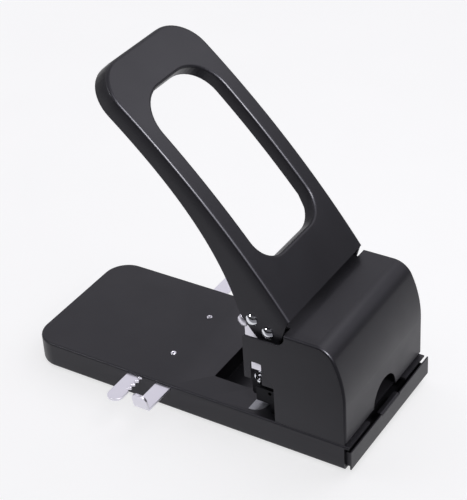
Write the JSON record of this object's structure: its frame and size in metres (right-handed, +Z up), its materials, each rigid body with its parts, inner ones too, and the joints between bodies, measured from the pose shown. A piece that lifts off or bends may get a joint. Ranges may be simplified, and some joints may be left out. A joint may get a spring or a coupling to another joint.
{
  "type": "two-hole punch",
  "caption": "Heavy-duty two-hole paper punch: low black steel table, adjustable paper guides, boxed head and a long bowed lever with a window.",
  "frame": {"origin": "centre of the base's footprint, on the desk", "axes": "+Z up, +Y to the rear where the chip tray pulls out, +X to the right seen from the table end"},
  "size_m": [0.1842, 0.281, 0.2665],
  "materials": {
    "black_paint": "semi-gloss black stoved enamel on pressed steel",
    "zinc_plate": "bright zinc plate on steel",
    "chrome_plate": "bright chrome plate",
    "machined_steel": "machined steel, lightly oiled",
    "black_oxide": "oil-blackened steel",
    "black_rubber": "matt black rubber"
  },
  "bodies": {
    "frame": {"base_pan": "black_paint", "rubber_feet": "black_rubber", "guide_channel": "zinc_plate", "channel_rivets": "zinc_plate", "pinion_stud": "machined_steel", "die_bar": "machined_steel", "guide_block": "black_oxide", "guide_bushes": "chrome_plate", "block_screws": "machined_steel", "return_springs": "black_oxide", "left_side_plate": "black_paint", "right_side_plate": "black_paint", "side_plate_screws": "machined_steel", "rear_cover": "black_paint", "left_frame_plate": "black_paint", "right_frame_plate": "black_paint", "frame_screws": "machined_steel", "frame_tie_rods": "machined_steel", "pivot_shaft": "chrome_plate"},
    "lever": {"lever": "black_paint", "link_rod": "chrome_plate"},
    "press": {"press_bar": "machined_steel", "left_yoke": "zinc_plate", "right_yoke": "zinc_plate", "yoke_screws": "machined_steel", "yoke_tie_rod": "zinc_plate", "left_punch": "chrome_plate", "right_punch": "chrome_plate", "punch_keeper": "zinc_plate", "keeper_screws": "machined_steel"},
    "left_guide": {"left_guide_bar": "zinc_plate"},
    "right_guide": {"right_guide_bar": "zinc_plate"},
    "pinion": {"guide_pinion": "machined_steel"},
    "chip_tray": {"chip_tray": "black_paint"}
  },
  "joints": [
    {"name": "lever_pivot", "type": "hinge", "parent": "frame", "child": "lever", "pos_m": [0, 0.0727, 0.0966], "axis": [1, 0, 0], "range_deg": [0, 42], "stiffness_Nm_per_rad": 0.78, "springref_deg": -49.27},
    {"name": "press_slide", "type": "slide", "parent": "frame", "child": "press", "axis": [0, 0, -1], "range_m": [0, 0.01032], "deforming": ["return_springs"]},
    {"name": "left_guide_slide", "type": "slide", "parent": "frame", "child": "left_guide", "axis": [-1, 0, 0], "range_m": [-0.026, 0.06]},
    {"name": "right_guide_slide", "type": "slide", "parent": "frame", "child": "right_guide", "axis": [1, 0, 0], "range_m": [-0.0261, 0.0601]},
    {"name": "pinion_spin", "type": "hinge", "parent": "frame", "child": "pinion", "pos_m": [0, -0.0305, 0.0198], "axis": [0, 0, 1], "range_deg": [-460, 200]},
    {"name": "tray_slide", "type": "slide", "parent": "frame", "child": "chip_tray", "axis": [0, 1, 0], "range_m": [0, 0.11]}
  ],
  "couplings": [
    {"joint": "press_slide", "follows": "lever_pivot", "m_per_rad": 0.013943},
    {"joint": "right_guide_slide", "follows": "left_guide_slide", "ratio": 1},
    {"joint": "pinion_spin", "follows": "left_guide_slide", "rad_per_m": -133.33}
  ]
}
